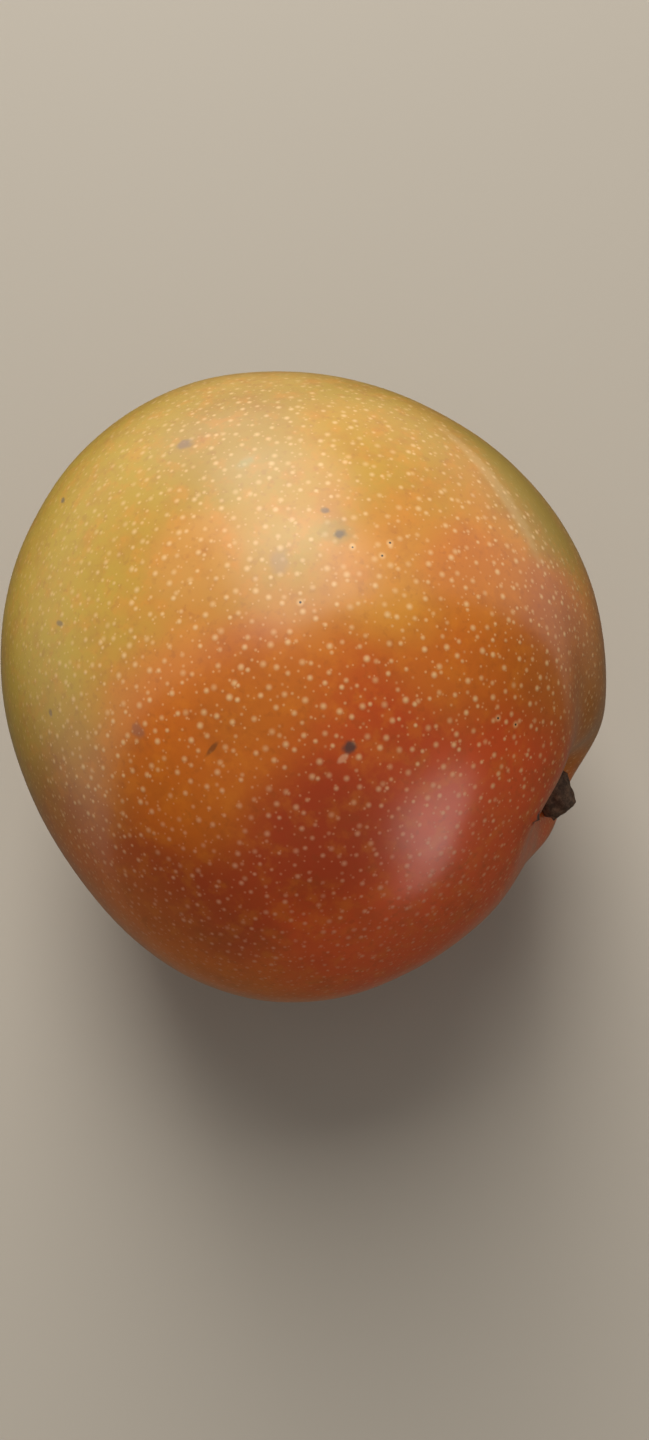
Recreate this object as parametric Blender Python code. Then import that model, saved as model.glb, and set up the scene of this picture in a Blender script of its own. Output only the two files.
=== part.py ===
"""A ripe mango lying on its cheek, with the cut stub of its stalk standing in the hollow at the stem end.

Metres, +Z up. The origin is the middle of the flat spot that the fruit rests on, and +X points to the stem end.
"""

import math

import bmesh
import bpy
from mathutils import Matrix, Vector

# Driving sizes of the fruit, before its swellings and hollows.
LENGTH = 0.1020
WIDTH = 0.1065
THICKNESS = 0.0920

# The fruit is an egg with these swellings and hollows in it, each a smooth bell on the skin.
# Longitude runs from the stem end at 0 towards the belly side at 90, and latitude is above the seam, in degrees.
# name: (longitude, latitude, reach along, reach across, turn of the long way, height in metres)
SWELLINGS = {
    "belly shoulder": (8, -6, 13, 16, 0, 0.0025),
    "back shoulder": (-6.5, -11, 7.5, 9, 0, 0.0020),
    "dip behind that shoulder": (-21, -3, 6, 12.5, 0, -0.0008),
    "back": (-71, 0, 36, 40, 0, 0.0050),
    "belly": (80, 12, 33, 35, 0, -0.0024),
    "tip side": (154, 8, 31, 36, 0, 0.0046),
    "tip end": (-165, 4, 31, 36, 0, 0.0030),
    "beak": (170, -14, 7, 7, 0, 0.0012),
    "bay beside the beak": (148, -16, 14, 12, 0, -0.0012),
    "upper cheek": (0, 90, 40, 40, 0, -0.0006),
    "stem hollow": (-3.5, 6, 11, 13, 0, -0.0052),
    "stem pit": (-0.5, -1, 8, 9, 0, -0.0046),
    "dip in the hollow's rim": (-13.5, 15, 7, 8, 0, -0.0018),
    "fold above the stem": (7, 23, 15, 6.5, 48, -0.0014),
}

# The flat spot: the fruit is cut off this far above its lowest point.
REST_DEPTH = 0.0009

FRUIT_SUBDIVISIONS = 5
HOLLOW_REACH = math.radians(24)  # the skin within this angle of the stem pit is meshed finer

# The stalk stub, along its own axis from the root to the cut.
STUB_SIDES = 14
STUB_ROOT_DEPTH = 0.0030
STUB_RINGS = (  # (distance out of the skin, radius)
    (-STUB_ROOT_DEPTH, 0.0024),
    (0.0000, 0.0032),
    (0.0018, 0.0039),
    (0.0036, 0.0035),
    (0.0056, 0.0032),
    (0.0076, 0.0032),
)
STUB_CUT_TILT = math.radians(12)
STUB_LONGITUDE, STUB_LATITUDE = math.radians(-0.5), math.radians(-1)
STUB_LEAN_BACK, STUB_LEAN_DOWN = math.radians(38), math.radians(7)
CLEARANCE = 0.0003

COLOURS = {
    "fruit": ((0.60, 0.20, 0.04), 0.34),
    "stem": ((0.075, 0.045, 0.028), 0.85),
}


def heading(longitude, latitude):
    """The unit vector towards a longitude and latitude, in radians."""
    level = math.cos(latitude)
    return Vector((level * math.cos(longitude), level * math.sin(longitude), math.sin(latitude)))


def bell(direction, longitude, latitude, along, across, turn, height):
    """How far one swelling lifts the skin in this direction."""
    longitude, latitude, along, across, turn = map(math.radians, (longitude, latitude, along, across, turn))
    centre = heading(longitude, latitude)
    east = Vector((-math.sin(longitude), math.cos(longitude), 0))
    north = centre.cross(east)
    away = direction.angle(centre)
    bearing = math.atan2(direction.dot(north), direction.dot(east)) - turn
    return height * math.exp(
        -((away * math.cos(bearing) / along) ** 2) - (away * math.sin(bearing) / across) ** 2
    )


def skin(direction):
    """The point of the skin that lies in this direction from the middle of the fruit."""
    egg = Vector((direction.x * LENGTH, direction.y * WIDTH, direction.z * THICKNESS)) / 2
    return egg + direction * sum(bell(direction, *swelling) for swelling in SWELLINGS.values())


def material(name):
    colour, roughness = COLOURS[name]
    made = bpy.data.materials.new(name)
    made.use_nodes = True
    shader = made.node_tree.nodes["Principled BSDF"]
    shader.inputs["Base Color"].default_value = (*colour, 1)
    shader.inputs["Roughness"].default_value = roughness
    shader.inputs["Metallic"].default_value = 0
    return made


def add(name, mesh_edit, look):
    """Turns a bmesh into an object of the scene, shaded smooth."""
    mesh = bpy.data.meshes.new(name)
    mesh_edit.to_mesh(mesh)
    mesh_edit.free()
    mesh.shade_smooth()
    mesh.set_sharp_from_angle(angle=math.radians(40))
    mesh.materials.append(material(look))
    made = bpy.data.objects.new(name, mesh)
    bpy.context.scene.collection.objects.link(made)
    return made


def make_fruit():
    """The whole fruit, as one solid, with a flat spot at the foot. Returns it and how high its middle stands."""
    body = bmesh.new()
    bmesh.ops.create_icosphere(body, subdivisions=FRUIT_SUBDIVISIONS, radius=1)
    pit = heading(STUB_LONGITUDE, STUB_LATITUDE)
    near_pit = [edge for edge in body.edges if all(v.co.angle(pit) < HOLLOW_REACH for v in edge.verts)]
    bmesh.ops.subdivide_edges(body, edges=near_pit, cuts=1)
    bmesh.ops.triangulate(body, faces=body.faces[:])
    for vertex in body.verts:
        vertex.co = skin(vertex.co.normalized())
    foot = min(vertex.co.z for vertex in body.verts) + REST_DEPTH
    bmesh.ops.bisect_plane(
        body,
        geom=body.verts[:] + body.edges[:] + body.faces[:],
        plane_co=(0, 0, foot),
        plane_no=(0, 0, -1),
        clear_outer=True,
    )
    rim = [edge for edge in body.edges if edge.is_boundary]
    bmesh.ops.holes_fill(body, edges=rim)
    bmesh.ops.translate(body, verts=body.verts, vec=(0, 0, -foot))
    bmesh.ops.recalc_face_normals(body, faces=body.faces)
    return add("fruit", body, "fruit"), -foot


def stub_axes(middle_height):
    """The matrix that stands the stub in its pit, its own +Z along the stub."""
    pit = heading(STUB_LONGITUDE, STUB_LATITUDE)
    root = skin(pit) + Vector((0, 0, middle_height))
    out = heading(STUB_LONGITUDE - STUB_LEAN_BACK, STUB_LATITUDE - STUB_LEAN_DOWN)
    return Matrix.Translation(root) @ out.to_track_quat("Z", "Y").to_matrix().to_4x4()


def make_stub(name, axes, spare=0.0):
    """The stub, turned from its rings. With spare it is that much fatter and deeper, to cut its own socket."""
    stub = bmesh.new()
    rings = [(along - spare if along < 0 else along, radius + spare) for along, radius in STUB_RINGS]
    profile = [(0, rings[0][0]), *((radius, along) for along, radius in rings), (0, rings[-1][0])]
    points = [stub.verts.new((radius, 0, along)) for radius, along in profile]
    edges = [stub.edges.new(pair) for pair in zip(points, points[1:])]
    bmesh.ops.spin(
        stub,
        geom=points + edges,
        cent=(0, 0, 0),
        axis=(0, 0, 1),
        angle=math.tau,
        steps=STUB_SIDES,
        use_merge=True,
    )
    bmesh.ops.remove_doubles(stub, verts=stub.verts, dist=0.00001)
    end = rings[-1][0]
    bmesh.ops.rotate(
        stub,
        verts=[vertex for vertex in stub.verts if vertex.co.z > end - 0.00001],
        cent=(0, 0, end),
        matrix=Matrix.Rotation(STUB_CUT_TILT, 3, "Y"),
    )
    bmesh.ops.recalc_face_normals(stub, faces=stub.faces)
    stub.transform(axes)
    return add(name, stub, "stem")


def cut_socket(fruit, cutter):
    """Takes the cutter's shape out of the fruit, and leaves the cutter as a helper."""
    cutter.hide_render = True
    cutter.display_type = "WIRE"
    socket = fruit.modifiers.new("socket", "BOOLEAN")
    socket.operation = "DIFFERENCE"
    socket.object = cutter


for leftover in list(bpy.data.objects):
    bpy.data.objects.remove(leftover)

fruit, middle_height = make_fruit()
axes = stub_axes(middle_height)
make_stub("stem", axes)
cut_socket(fruit, make_stub("stem_socket_cutter", axes, spare=CLEARANCE))
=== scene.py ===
"""A ripe mango lying on its cheek on a pale floor, seen from steeply above, with the stub of its stalk."""

import math

import bmesh
import bpy
import numpy as np
from mathutils import Matrix, Vector, noise


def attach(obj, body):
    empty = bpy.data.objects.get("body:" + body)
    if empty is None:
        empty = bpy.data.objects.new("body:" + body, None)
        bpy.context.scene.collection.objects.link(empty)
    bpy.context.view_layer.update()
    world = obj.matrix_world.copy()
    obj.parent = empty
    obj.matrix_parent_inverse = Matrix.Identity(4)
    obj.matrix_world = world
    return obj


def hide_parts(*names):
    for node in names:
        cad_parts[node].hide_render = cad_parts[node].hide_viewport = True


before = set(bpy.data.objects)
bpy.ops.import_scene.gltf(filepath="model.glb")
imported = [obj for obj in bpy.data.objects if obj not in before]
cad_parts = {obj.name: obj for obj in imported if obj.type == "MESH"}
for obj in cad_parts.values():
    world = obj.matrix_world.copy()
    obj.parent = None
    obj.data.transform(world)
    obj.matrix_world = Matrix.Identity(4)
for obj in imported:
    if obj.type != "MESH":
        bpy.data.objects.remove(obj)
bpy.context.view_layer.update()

# --- Camera ---------------------------------------------------------------------------------------
# A camera held close above the fruit and tipped a little, so that the fruit hides all but the end of
# its stalk. The fruit fills the frame's width and lies above its middle.

FRUIT_MIDDLE = Vector((0, 0, 0.0451))
CAMERA_TURN, CAMERA_RISE = math.radians(24.6), math.radians(75)
CAMERA_DISTANCE = 0.195
# where the fruit's middle shows, as slopes from the middle of the picture
AIM_LEFT, AIM_UP = 0.0111, 0.0455
SENSOR_HEIGHT, FOCAL_LENGTH = 36, 27.05  # millimetres

camera_back = Vector(
    (
        math.sin(CAMERA_TURN) * math.cos(CAMERA_RISE),
        -math.cos(CAMERA_TURN) * math.cos(CAMERA_RISE),
        math.sin(CAMERA_RISE),
    )
)
camera_right = Vector((math.cos(CAMERA_TURN), math.sin(CAMERA_TURN), 0))
camera_up = camera_back.cross(camera_right)
sight = (camera_up * AIM_UP - camera_right * AIM_LEFT - camera_back).normalized()
lens = bpy.data.cameras.new("camera")
lens.sensor_fit = "VERTICAL"
lens.sensor_height = SENSOR_HEIGHT
lens.lens = FOCAL_LENGTH
lens.clip_start = 0.005
lens.dof.use_dof = False
camera = bpy.data.objects.new("camera", lens)
camera.matrix_world = Matrix.Translation(FRUIT_MIDDLE - sight * CAMERA_DISTANCE) @ (
    Matrix((camera_right, camera_up, camera_back)).transposed().to_4x4()
)
bpy.context.scene.collection.objects.link(camera)
bpy.context.scene.camera = camera

# --- Fruit ----------------------------------------------------------------------------------------
# The whole mango: skin and flesh that grew as one lopsided egg, with a hollow and a fold at the stem
# end. It lies on its cheek, pressed flat where it touches the floor. Its skin is thin, waxy and dotted
# with pale pores.

LENGTH, WIDTH, THICKNESS = 0.1020, 0.1065, 0.0920
REST_DEPTH = 0.0009
# name: (longitude, latitude, reach along, reach across, turn of the long way, height)
# Angles are in degrees and heights in metres. Longitude 0 is the stem end and latitude 90 the top.
SWELLINGS = {
    "belly shoulder": (8, -6, 13, 16, 0, 0.0025),
    "back shoulder": (-6.5, -11, 7.5, 9, 0, 0.0020),
    "dip behind that shoulder": (-21, -3, 6, 12.5, 0, -0.0008),
    "back": (-71, 0, 36, 40, 0, 0.0050),
    "belly": (80, 12, 33, 35, 0, -0.0024),
    "tip side": (154, 8, 31, 36, 0, 0.0046),
    "tip end": (-165, 4, 31, 36, 0, 0.0030),
    "beak": (170, -14, 7, 7, 0, 0.0012),
    "bay beside the beak": (148, -16, 14, 12, 0, -0.0012),
    "upper cheek": (0, 90, 40, 40, 0, -0.0006),
    "stem hollow": (-3.5, 6, 11, 13, 0, -0.0052),
    "stem pit": (-0.5, -1, 8, 9, 0, -0.0046),
    "dip in the hollow's rim": (-13.5, 15, 7, 8, 0, -0.0018),
    "fold above the stem": (7, 23, 15, 6.5, 48, -0.0014),
}
UNEVENNESS, UNEVEN_SPACING = 0.00018, 0.014
STEM_PIT = (-1, 3)
SPHERE_ROUNDS = 7
TOP_WIDTH, TOP_ROUNDS = 62, 1  # where the mesh is finer: within these degrees, by so many cuts
PIT_WIDTH, PIT_ROUNDS = 17, 2
SAP_SPOT = (-15.5, 25)
SAP_RADIUS, SAP_HEIGHT, SAP_STAIN = 0.0008, 0.0007, 0.0016


def heading(longitude, latitude):
    """The unit vector towards a longitude and latitude, in degrees."""
    longitude, latitude = math.radians(longitude), math.radians(latitude)
    level = math.cos(latitude)
    return np.array((level * math.cos(longitude), level * math.sin(longitude), math.sin(latitude)))


def bell(directions, longitude, latitude, along, across, turn, height):
    """How far one swelling lifts the skin in each of these directions."""
    centre = heading(longitude, latitude)
    east = heading(longitude + 90, 0)
    north = np.cross(centre, east)
    away = np.degrees(np.arccos(np.clip(directions @ centre, -1, 1)))
    bearing = np.arctan2(directions @ north, directions @ east) - math.radians(turn)
    along_share, across_share = away * np.cos(bearing) / along, away * np.sin(bearing) / across
    return height * np.exp(-(along_share**2) - across_share**2)


def skin(directions):
    """The points of the smooth skin that lie in these directions from the middle of the fruit."""
    lift = sum(bell(directions, *swelling) for swelling in SWELLINGS.values())
    return directions * np.array((LENGTH, WIDTH, THICKNESS)) / 2 + directions * lift[:, None]


def grow_fruit():
    shell = bmesh.new()
    bmesh.ops.create_icosphere(shell, subdivisions=SPHERE_ROUNDS, radius=1)
    top, pit = Vector((0, 0, 1)), Vector(heading(*STEM_PIT))
    for centre, width, rounds in ((top, TOP_WIDTH, TOP_ROUNDS), (pit, PIT_WIDTH, PIT_ROUNDS)):
        reach = math.cos(math.radians(width))
        for _ in range(rounds):
            inside = {vertex for vertex in shell.verts if vertex.co.normalized().dot(centre) > reach}
            near = [edge for edge in shell.edges if inside.issuperset(edge.verts)]
            bmesh.ops.subdivide_edges(shell, edges=near, cuts=1)
            bmesh.ops.triangulate(shell, faces=shell.faces)
    mesh = bpy.data.meshes.new("mango_fruit")
    shell.to_mesh(mesh)
    shell.free()
    directions = np.empty(len(mesh.vertices) * 3, np.float32)
    mesh.vertices.foreach_get("co", directions)
    directions = directions.reshape(-1, 3).astype(float)
    directions /= np.linalg.norm(directions, axis=1, keepdims=True)
    points = skin(directions)
    foot = points[:, 2].min() + REST_DEPTH
    waves = np.array([noise.noise(Vector(point) / UNEVEN_SPACING) for point in points])
    points += directions * (waves * UNEVENNESS)[:, None]
    away = np.linalg.norm(points - skin(heading(*SAP_SPOT)[None]), axis=1)
    points += directions * (SAP_HEIGHT * np.clip(1 - (away / SAP_RADIUS) ** 2, 0, 1) ** 0.5)[:, None]
    points[:, 2] = np.maximum(points[:, 2] - foot, 0)
    mesh.vertices.foreach_set("co", points.astype(np.float32).ravel())
    mesh.shade_smooth()
    made = bpy.data.objects.new("mango_fruit", mesh)
    bpy.context.scene.collection.objects.link(made)
    return made


class Paint:
    """A value or colour that varies over a surface. Sums and products of it add Math nodes."""

    def __init__(self, tree, socket):
        self.tree, self.socket = tree, socket

    def node(self, kind, settings, sockets, out=0):
        """Adds a node: settings first, then a value or a Paint for each named or numbered socket."""
        made = self.tree.nodes.new("ShaderNode" + kind)
        for name, value in settings.items():
            setattr(made, name, value)
        for name, value in sockets.items():
            if isinstance(value, Paint):
                self.tree.links.new(value.socket, made.inputs[name])
            else:
                made.inputs[name].default_value = value
        return Paint(self.tree, made.outputs[out])

    def math(self, operation, *values):
        return self.node("Math", {"operation": operation}, dict(enumerate(values)))

    def __add__(self, other):
        return self.math("ADD", self, other)

    def __sub__(self, other):
        return self.math("SUBTRACT", self, other)

    def __rsub__(self, other):
        return self.math("SUBTRACT", other, self)

    def __mul__(self, other):
        return self.math("MULTIPLY", self, other)

    def __truediv__(self, other):
        return self.math("DIVIDE", self, other)

    def __rtruediv__(self, other):
        return self.math("DIVIDE", other, self)

    __radd__, __rmul__ = __add__, __mul__

    def rise(self, start, end):
        """0 below start, 1 above end, and smooth between. With start above end it falls instead."""
        ends = {"From Min": start, "From Max": end, "To Min": 0.0, "To Max": 1.0}
        return self.node("MapRange", {"interpolation_type": "SMOOTHSTEP"}, {"Value": self, **ends})

    def blend(self, low, high):
        """The colour that is low where this is 0 and high where it is 1."""
        low, high = (colour if isinstance(colour, Paint) else (*colour, 1) for colour in (low, high))
        return self.node("Mix", {"data_type": "RGBA"}, {"Factor": self, 6: low, 7: high}, out=2)

    def noise(self, spacing, detail=2.0, roughness=0.5, seed=0.0):
        """Soft noise from 0 to 1 over this position, its waves about this spacing apart."""
        settings = {"noise_dimensions": "4D"}
        sockets = {"Vector": self, "W": seed, "Scale": 1 / spacing, "Detail": detail}
        return self.node("TexNoise", settings, {**sockets, "Roughness": roughness})

    def parts(self):
        """The x, y and z of this position."""
        split = self.node("SeparateXYZ", {}, {0: self})
        return [Paint(self.tree, output) for output in split.socket.node.outputs]

    def towards(self, longitude, latitude):
        """The cosine of the angle between this direction and one on the globe."""
        aim = tuple(heading(longitude, latitude))
        return self.node("VectorMath", {"operation": "DOT_PRODUCT"}, {0: self, 1: aim}, out="Value")

    def patch(self, longitude, latitude, inner, outer, waves=0):
        """1 within one angle of a direction on the globe and 0 beyond another, with waves in its edge."""
        full, none = (math.cos(math.radians(angle)) for angle in (inner, outer))
        near = self.towards(longitude, latitude)
        return (near + waves * (full - none) if waves else near).rise(none, full)

    def from_spot(self, longitude, latitude, along, across, turn=0):
        """How far this is from a spot on the skin, where 1 is the edge of an ellipse there."""
        centre = Vector(heading(longitude, latitude))
        east = Vector(heading(longitude + 90, 0))
        lie = Matrix((east, centre.cross(east), centre)).transposed()
        lie = lie @ Matrix.Rotation(math.radians(turn), 3, "Z")
        sockets = {
            "Vector": self,
            "Location": spot_place(longitude, latitude),
            "Rotation": lie.to_euler(),
            "Scale": (along, across, max(along, across)),
        }
        local = self.node("Mapping", {"vector_type": "TEXTURE"}, sockets)
        return local.node("VectorMath", {"operation": "LENGTH"}, {0: local}, out="Value")


def new_material(name):
    """A material with a Principled shader. Returns it, its shader and its Object coordinates."""
    made = bpy.data.materials.new(name)
    made.use_nodes = True
    tree = made.node_tree
    shader = tree.nodes["Principled BSDF"]
    place = tree.nodes.new("ShaderNodeTexCoord").outputs["Object"]
    return made, shader, Paint(tree, place)


def spot_place(longitude, latitude):
    """The point of the skin at this longitude and latitude, in metres."""
    return Vector(skin(heading(longitude, latitude)[None])[0]) + FRUIT_MIDDLE


ORANGE = (0.64, 0.20, 0.008)
# Patches of colour, laid over each other in this order: (longitude, latitude, full within, gone beyond,
# colour), in degrees
BLUSHES = {
    "golden upper side": (130, 33, 24, 80, (0.44, 0.26, 0.016)),
    "yellow tip": (-161, 11, 14, 61, (0.50, 0.31, 0.008)),
    "red cheek": (-44, 33, 23, 54, (0.53, 0.064, 0.006)),
    "deep red side": (-79, 2, 14, 62, (0.38, 0.046, 0.006)),
    "coral shoulder": (-39, -2, 15, 58, (0.78, 0.098, 0.010)),
    "green flank": (112, -12, 6, 38, (0.37, 0.27, 0.012)),
    "flush under the tip": (165, -42, 4, 40, (0.60, 0.19, 0.010)),
    "orange back": (-94, -8, 18, 42, (0.74, 0.170, 0.010)),
    "orange cheek": (-97, 54, 1, 22, (0.62, 0.140, 0.006)),
    "deep orange cheek": (-94, 68, 3, 14, (0.55, 0.135, 0.006)),
    "orange by the crown": (5, 62, 1, 18, (0.58, 0.135, 0.009)),
    "pale gold far side": (124, 18, 6, 28, (0.55, 0.33, 0.055)),
    "orange shoulder": (18, 39, 1, 20, (0.49, 0.120, 0.007)),
    "olive far side": (62, 10, 20, 40, (0.42, 0.22, 0.010)),
    "brown shoulder": (24, 8, 8, 26, (0.46, 0.150, 0.010)),
    "olive blotch": (51, 37, 4, 15, (0.41, 0.205, 0.006)),
    "tan blotch": (135, 56, 6, 20, (0.41, 0.230, 0.020)),
    "golden blotch": (97, 58, 4, 17, (0.50, 0.262, 0.012)),
    "apricot crown": (24, 75, 2, 15, (0.64, 0.247, 0.018)),
    "apricot blotch": (-167, 69, 3, 12, (0.59, 0.257, 0.030)),
    "dark red blotch": (-62, 45, 4, 16, (0.44, 0.049, 0.006)),
    "warm blotch": (30, 59, 3, 14, (0.59, 0.173, 0.012)),
}
# The waves that make the patches' edges ragged: (spacing, detail, seed, height)
EDGE_WAVES = ((0.020, 3, 1.0, 1.1), (0.0045, 2, 2.0, 0.35))
# Mottling over all of them: (spacing, detail, roughness, seed, none at, full at, strength, colour)
MOTTLES = {
    "dark clouds": (0.0060, 4, 0.65, 3.0, 0.46, 0.76, 0.34, (0.36, 0.085, 0.006)),
    "bright orange clouds": (0.0028, 3, 0.60, 9.0, 0.47, 0.70, 0.24, (0.76, 0.235, 0.010)),
    "brown flecks": (0.0011, 2, 0.50, 5.0, 0.54, 0.74, 0.22, (0.30, 0.060, 0.005)),
}
# Small marks, among them a painted highlight and a painted shade: (longitude, latitude, half length, half
# width, turn, strength, colour)
MARKS = {
    "green streak": (57, 37, 0.0185, 0.0066, 6, 0.85, (0.33, 0.21, 0.006)),
    # A pale line painted beside the green streak: a painted highlight, where a slight ridge in the skin
    # would catch the light. The mesh has no ridge there.
    "painted ridge highlight beside the streak": (58, 48, 0.0150, 0.0017, -3, 0.24, (0.72, 0.50, 0.22)),
    "halo of the nick": (84, 82, 0.0030, 0.0022, 0, 0.45, (0.33, 0.22, 0.030)),
    "nick": (78, 82, 0.0010, 0.0008, 60, 0.85, (0.13, 0.08, 0.035)),
    "second nick": (102, 79, 0.0007, 0.0006, 0, 0.75, (0.15, 0.09, 0.04)),
    "smudge": (-176, 85, 0.0020, 0.0015, 20, 0.40, (0.30, 0.17, 0.09)),
    "brown spot": (-51, 62, 0.0011, 0.0010, 0, 0.90, (0.085, 0.045, 0.035)),
    "pale scar": (-54, 60.5, 0.0010, 0.0005, 30, 0.55, (0.80, 0.42, 0.22)),
    "grey scab": (154, 54, 0.0014, 0.0013, 120, 0.75, (0.22, 0.125, 0.065)),
    "nick at the tip": (178, 34, 0.0011, 0.0005, 60, 0.80, (0.11, 0.08, 0.04)),
    "lower nick at the tip": (-152, 44, 0.0010, 0.0005, 60, 0.70, (0.15, 0.10, 0.05)),
    "speck at the tip": (-135, 37, 0.0006, 0.0005, 0, 0.70, (0.15, 0.08, 0.03)),
    "dent": (-116, 53, 0.0013, 0.0011, 0, 0.55, (0.26, 0.10, 0.06)),
    "green freckle": (142, 66, 0.0018, 0.0010, 20, 0.30, (0.30, 0.33, 0.14)),
    # A thin dark line painted where the skin creases: painted shade in the fold, which the shape itself
    # lacks.
    "painted crease shade": (-95, 59, 0.0016, 0.0004, 75, 0.75, (0.20, 0.06, 0.01)),
    "sap": (*SAP_SPOT, 0.0014, 0.0012, 0, 1.0, (0.07, 0.040, 0.025)),
}
MARK_EDGE_SPACING, MARK_RAGGEDNESS = 0.0012, 0.9
MARK_OUTSIDE, MARK_INSIDE = 1.25, 0.45  # where a mark ends and is full, next to its ellipse
PRICKED_PORES = ((56, 82), (39, 78), (47, 76), (-9, 50), (-7, 46), (-80, 85))
PRICK_RADIUS, PRICK_HALO, PRICK_BROWN = 0.00024, 0.00075, (0.03, 0.02, 0.01)
PORE_CREAM, PORE_PINK, PORE_STRENGTH = (0.88, 0.56, 0.24), (0.82, 0.38, 0.20), 0.78
PORE_SPACING, PORE_RADIUS = 0.0028, 0.00073
LEAST_SIZE, SIZE_RANGE, LEAST_STRENGTH = 0.68, 0.45, 0.5  # of one pore, next to the largest
# What the small pores and those of the underside are next to the others: (spacing, radius)
SMALL_PORES, UNDERSIDE_PORES = (0.71, 0.5), (0.5, 0.75)
SMALL_STRENGTH = 0.6
# Where the pores are weaker: (longitude, latitude, full within, gone beyond, by how much)
FAINT_PORES = ((-170, 12, 18, 57, 0.35), (118, 60, 14, 49, 0.16), (-66, 14, 23, 52, 0.12))
PINK_PORES = (-66, 14, 23, 52)
MEAN_RADIUS = 0.050
WRINKLED_SPOT = (-88, 62, 0.012, 0.009)
PEEL_SPACING, WRINKLE_SPACING, SKIN_BUMP = 0.0012, 0.0016, 0.0002
SKIN_IOR, SKIN_ROUGHNESS, ROUGHER_BY, ROUGHER_SPACING = 1.42, 0.27, 0.08, 0.010
WAX_WEIGHT, WAX_ROUGHNESS = 0.7, 0.17


def pores(place, dimensions, spacing, radius):
    """Round dots of unequal size and strength, one to each cell of a pattern over this position."""
    sockets = {"Vector": place, "Scale": 1 / spacing, "Randomness": 0.95}
    cells = place.node("TexVoronoi", {"voronoi_dimensions": dimensions}, sockets, out="Distance")
    chance = Paint(place.tree, cells.socket.node.outputs["Color"])
    chance = chance.node("SeparateColor", {}, {"Color": chance})
    strength = Paint(place.tree, chance.socket.node.outputs["Green"])
    strength = strength * (1 - LEAST_STRENGTH) + LEAST_STRENGTH
    return (cells * spacing / (chance * SIZE_RANGE + LEAST_SIZE)).rise(radius, 0) * strength


def all_pores(place, outward):
    """The pores of the whole skin: on a flat map spread from the top, and in space on the underside."""
    x, y, z = outward.parts()
    spread = MEAN_RADIUS * 2 / (z + 1)
    flat = x.node("CombineXYZ", {}, {0: x * spread, 1: y * spread})
    large = pores(flat, "2D", PORE_SPACING, PORE_RADIUS)
    closer, smaller = SMALL_PORES
    small = pores(flat, "2D", PORE_SPACING * closer, PORE_RADIUS * smaller) * SMALL_STRENGTH
    closer, smaller = UNDERSIDE_PORES
    under = pores(place, "3D", PORE_SPACING * closer, PORE_RADIUS * smaller)
    upper = z.rise(-0.25, -0.05)
    return large.math("MAXIMUM", large, small) * upper + under * (1 - upper)


def paint_skin():
    look, shader, place = new_material("mango_skin")
    outward = place.node("VectorMath", {"operation": "SUBTRACT"}, {0: place, 1: FRUIT_MIDDLE})
    outward = outward.node("VectorMath", {"operation": "NORMALIZE"}, {0: outward})
    waves = 0
    for size, detail, seed, high in EDGE_WAVES:
        waves = (place.noise(size, detail, seed=seed) - 0.5) * high + waves
    colour = ORANGE
    for *where, tint in BLUSHES.values():
        colour = outward.patch(*where, waves).blend(colour, tint)
    for size, detail, roughness, seed, none, full, strength, tint in MOTTLES.values():
        clouds = place.noise(size, detail, roughness, seed).rise(none, full)
        colour = (clouds * strength).blend(colour, tint)

    dots = all_pores(place, outward)
    faint = sum(outward.patch(*where) * loss for *where, loss in FAINT_PORES)
    pore_colour = outward.patch(*PINK_PORES).blend(PORE_CREAM, PORE_PINK)
    colour = (dots * (PORE_STRENGTH - faint)).blend(colour, pore_colour)

    ragged = (place.noise(MARK_EDGE_SPACING, seed=6.0) - 0.5) * MARK_RAGGEDNESS
    for *where, strength, tint in MARKS.values():
        inside = (place.from_spot(*where) + ragged).rise(MARK_OUTSIDE, MARK_INSIDE)
        colour = (inside * strength).blend(colour, tint)
    for longitude, latitude in PRICKED_PORES:
        halo = place.from_spot(longitude, latitude, PRICK_HALO, PRICK_HALO).rise(1, 0.27)
        prick = place.from_spot(longitude, latitude, PRICK_RADIUS, PRICK_RADIUS).rise(1, 0.5)
        colour = prick.blend((halo * 0.45).blend(colour, PORE_CREAM), PRICK_BROWN)

    wrinkles = place.from_spot(*WRINKLED_SPOT).rise(1.1, 0.3)
    wrinkles = wrinkles * place.noise(WRINKLE_SPACING, seed=8.0)
    peel = place.noise(PEEL_SPACING, detail=1.0, seed=4.0)
    height = peel * 0.25 + dots * 0.5 + wrinkles * 1.2
    bump = place.node("Bump", {}, {"Strength": 0.30, "Distance": SKIN_BUMP, "Height": height}, out="Normal")
    sap = place.from_spot(*SAP_SPOT, SAP_STAIN, SAP_STAIN * 0.875).rise(1.0, 0.7)
    roughness = place.noise(ROUGHER_SPACING, seed=7.0) * ROUGHER_BY + sap * 0.4 + SKIN_ROUGHNESS
    tree = look.node_tree
    tree.links.new(colour.socket, shader.inputs["Base Color"])
    tree.links.new(bump.socket, shader.inputs["Normal"])
    tree.links.new(roughness.socket, shader.inputs["Roughness"])
    tree.links.new(((1 - sap) * WAX_WEIGHT).socket, shader.inputs["Coat Weight"])
    shader.inputs["IOR"].default_value = SKIN_IOR
    shader.inputs["Coat Roughness"].default_value = WAX_ROUGHNESS
    return look


fruit = grow_fruit()
fruit.data.materials.append(paint_skin())
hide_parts("fruit")
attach(fruit, "root")

# --- Stem -----------------------------------------------------------------------------------------
# The stub of the stalk, dry dark wood snapped off short. It grows out of the pit in the stem hollow,
# leans towards the back of the fruit, and swells where it leaves the skin.

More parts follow.
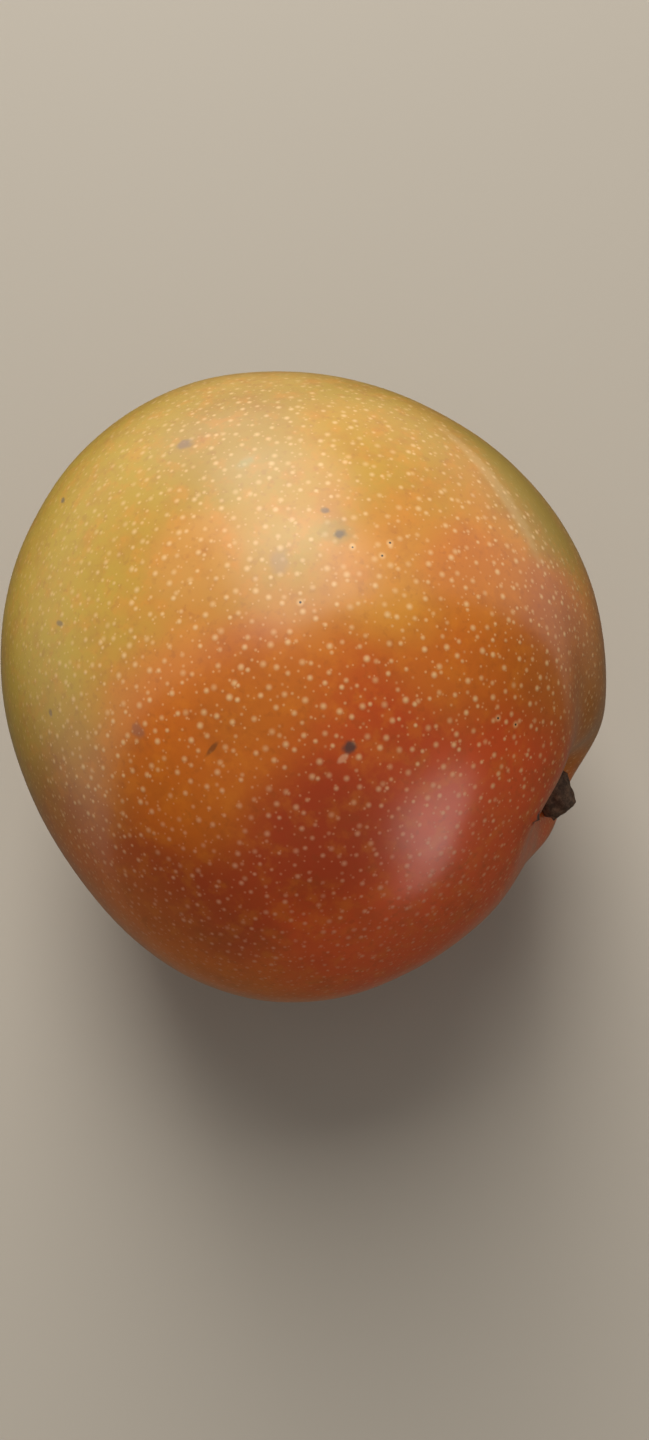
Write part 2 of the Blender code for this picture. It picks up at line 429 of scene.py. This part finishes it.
STUB_ROOT_DEPTH = 0.0030
STUB_LENGTH = 0.0076
STUB_RINGS = (  # (distance out of the skin, radius)
    (-STUB_ROOT_DEPTH, 0.0024),
    (0.0000, 0.0032),
    (0.0018, 0.0039),
    (0.0036, 0.0035),
    (0.0056, 0.0032),
    (0.0069, 0.0028),
    (STUB_LENGTH, 0.0018),
)
STUB_SIDES = 48
STUB_SPOT = (-0.5, -1)
STUB_POINTS_AT = (-38.5, -8)  # longitude and latitude again, so it leans back and down
STUB_CUT_TILT = math.radians(12)
STUB_RIDGES = ((5, 1, 0.05), (9, 0, 0.03))  # (how many, turned by, share of the radius)
BARK_SPACING, BARK_DEPTH = 0.0012, 0.00018
GRAIN_SPACING, GRAIN_BUMP = 0.0010, 0.0003
STUB_DARK, STUB_LIGHT = (0.050, 0.026, 0.014), (0.180, 0.100, 0.056)
STUB_ROUGHNESS, STUB_SHINE = 0.75, 0.25


def grow_stem():
    stub = bmesh.new()
    profile = [(-STUB_ROOT_DEPTH, 0), *STUB_RINGS, (STUB_LENGTH, 0)]
    points = [stub.verts.new((radius, 0, along)) for along, radius in profile]
    edges = [stub.edges.new(pair) for pair in zip(points, points[1:])]
    bmesh.ops.subdivide_edges(stub, edges=edges, cuts=5, smooth=0)
    bmesh.ops.spin(
        stub,
        geom=stub.verts[:] + stub.edges[:],
        cent=(0, 0, 0),
        axis=(0, 0, 1),
        angle=math.tau,
        steps=STUB_SIDES,
        use_merge=True,
    )
    bmesh.ops.remove_doubles(stub, verts=stub.verts, dist=0.000001)
    bmesh.ops.recalc_face_normals(stub, faces=stub.faces)
    for vertex in stub.verts:
        bearing = math.atan2(vertex.co.y, vertex.co.x)
        out = max(vertex.co.z, 0) / STUB_LENGTH
        ridges = sum(share * math.sin(count * bearing + shift) for count, shift, share in STUB_RIDGES)
        rough = noise.noise(vertex.co / BARK_SPACING) * BARK_DEPTH
        vertex.co.xy *= 1 + ridges * min(1, 0.3 + out)
        if out > 0.98:
            vertex.co.z += math.tan(STUB_CUT_TILT) * -vertex.co.x + rough * 2.5
        vertex.co += Vector((math.cos(bearing), math.sin(bearing), 0)) * rough
    leaning = Vector(heading(*STUB_POINTS_AT)).to_track_quat("Z", "Y").to_matrix().to_4x4()
    stub.transform(Matrix.Translation(spot_place(*STUB_SPOT)) @ leaning)
    mesh = bpy.data.meshes.new("mango_stem")
    stub.to_mesh(mesh)
    stub.free()
    mesh.shade_smooth()
    made = bpy.data.objects.new("mango_stem", mesh)
    bpy.context.scene.collection.objects.link(made)
    return made


def paint_stem():
    look, shader, place = new_material("dry_stalk")
    grain = place.noise(GRAIN_SPACING, detail=4, roughness=0.7)
    colour = grain.rise(0.35, 0.75).blend(STUB_DARK, STUB_LIGHT)
    look.node_tree.links.new(colour.socket, shader.inputs["Base Color"])
    bump = place.node("Bump", {}, {"Strength": 0.8, "Distance": GRAIN_BUMP, "Height": grain}, out="Normal")
    look.node_tree.links.new(bump.socket, shader.inputs["Normal"])
    shader.inputs["Roughness"].default_value = STUB_ROUGHNESS
    shader.inputs["Specular IOR Level"].default_value = STUB_SHINE
    return look


stem = grow_stem()
stem.data.materials.append(paint_stem())
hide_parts("stem")
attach(stem, "root")

# --- Floor and light ------------------------------------------------------------------------------
# A plain pale floor, a soft box on the far side and a dim wide one overhead. A light tent stands round
# them, whose far side glows, most of all in one tall soft band, and so does one small patch of it on the
# right. It lights nothing, and shows only in the gloss of the skin and, evenly grey, behind the floor.

FLOOR_RADIUS, FLOOR_SIDES = 1.5, 96
FLOOR_COLOUR, FLOOR_ROUGHNESS, FLOOR_SHINE = (0.42, 0.37, 0.30), 0.7, 0.15

floor_mesh = bmesh.new()
bmesh.ops.create_circle(floor_mesh, cap_ends=True, segments=FLOOR_SIDES, radius=FLOOR_RADIUS)
floor_data = bpy.data.meshes.new("floor")
floor_mesh.to_mesh(floor_data)
floor_mesh.free()
floor = bpy.data.objects.new("floor", floor_data)
bpy.context.scene.collection.objects.link(floor)
floor_look, floor_shader, _ = new_material("pale_floor")
floor_shader.inputs["Base Color"].default_value = (*FLOOR_COLOUR, 1)
floor_shader.inputs["Roughness"].default_value = FLOOR_ROUGHNESS
floor_shader.inputs["Specular IOR Level"].default_value = FLOOR_SHINE
floor_data.materials.append(floor_look)
floor.visible_glossy = False

# name: (turn, rise, distance, width, height, radiance); turns and rises are longitudes and latitudes
SOFT_BOXES = {
    "key_softbox": (124, 41, 1.5, 0.8, 1.5, 8.4),
    "fill_softbox": (-50, 72, 1.8, 4.0, 4.0, 0.48),
}
for name, (turn, rise, away, width, height, radiance) in SOFT_BOXES.items():
    lamp = bpy.data.lights.new(name, "AREA")
    lamp.shape = "RECTANGLE"
    lamp.size, lamp.size_y = width, height
    lamp.energy = radiance * math.pi * width * height
    softbox = bpy.data.objects.new(name, lamp)
    direction = Vector(heading(turn, rise))
    facing = direction.to_track_quat("Z", "Y").to_matrix().to_4x4()
    softbox.matrix_world = Matrix.Translation(FRUIT_MIDDLE + direction * away) @ facing
    softbox.visible_camera = False
    softbox.visible_glossy = False
    bpy.context.scene.collection.objects.link(softbox)

DIM, BRIGHT = 0.07, 0.82
LOWER_SHARE = 0.05  # how bright the tent is straight down, next to above the horizon
FLOORWARD, SKYWARD = -0.70, 0.10  # the sines of the rises between which it brightens
WARM_WHITE, WHITE = (1, 0.80, 0.56), (1, 1, 1)
BACKDROP, BACKDROP_WHITE = 0.5, (1, 0.93, 0.84)  # how the tent looks behind the fruit
BRIGHT_SIDE = (132, -15, 94, 98)  # (turn, rise, full within, gone beyond), in degrees
# Patches of the tent that glow more: (turn, rise, full within, gone beyond, strength)
BAND = {
    "low in the band": (132, 16, 0, 26, 0.8),
    "middle of the band": (126, 40, 4, 26, 1.9),
    "top of the band": (115, 68, 8, 28, 2.2),
}
NEAR_SIDE = {
    "patch on the right": (-20, 17, 5, 17, 1.9),
    "foot of that patch": (-26, 2, 2, 12, 1.2),
}
world = bpy.data.worlds.new("light_tent")
world.use_nodes = True
tent = world.node_tree
outlook = Paint(tent, tent.nodes.new("ShaderNodeTexCoord").outputs["Generated"])


def glows(patches):
    return sum(outlook.patch(*where) * strength for *where, strength in patches.values())


above = outlook.parts()[2].rise(FLOORWARD, SKYWARD)
bright_side = outlook.patch(*BRIGHT_SIDE) * (glows(BAND) + (BRIGHT - DIM))
glow = bright_side * (above * (1 - LOWER_SHARE) + LOWER_SHARE) + glows(NEAR_SIDE) + DIM
seen = Paint(tent, tent.nodes.new("ShaderNodeLightPath").outputs["Is Camera Ray"])
strength = glow * (1 - seen) + seen * BACKDROP
tint = seen.blend(above.blend(WARM_WHITE, WHITE), BACKDROP_WHITE)
backdrop = tent.nodes["Background"]
tent.links.new(strength.socket, backdrop.inputs["Strength"])
tent.links.new(tint.socket, backdrop.inputs["Color"])
world.cycles_visibility.diffuse = False
bpy.context.scene.world = world
bpy.context.scene.view_settings.view_transform = "Standard"
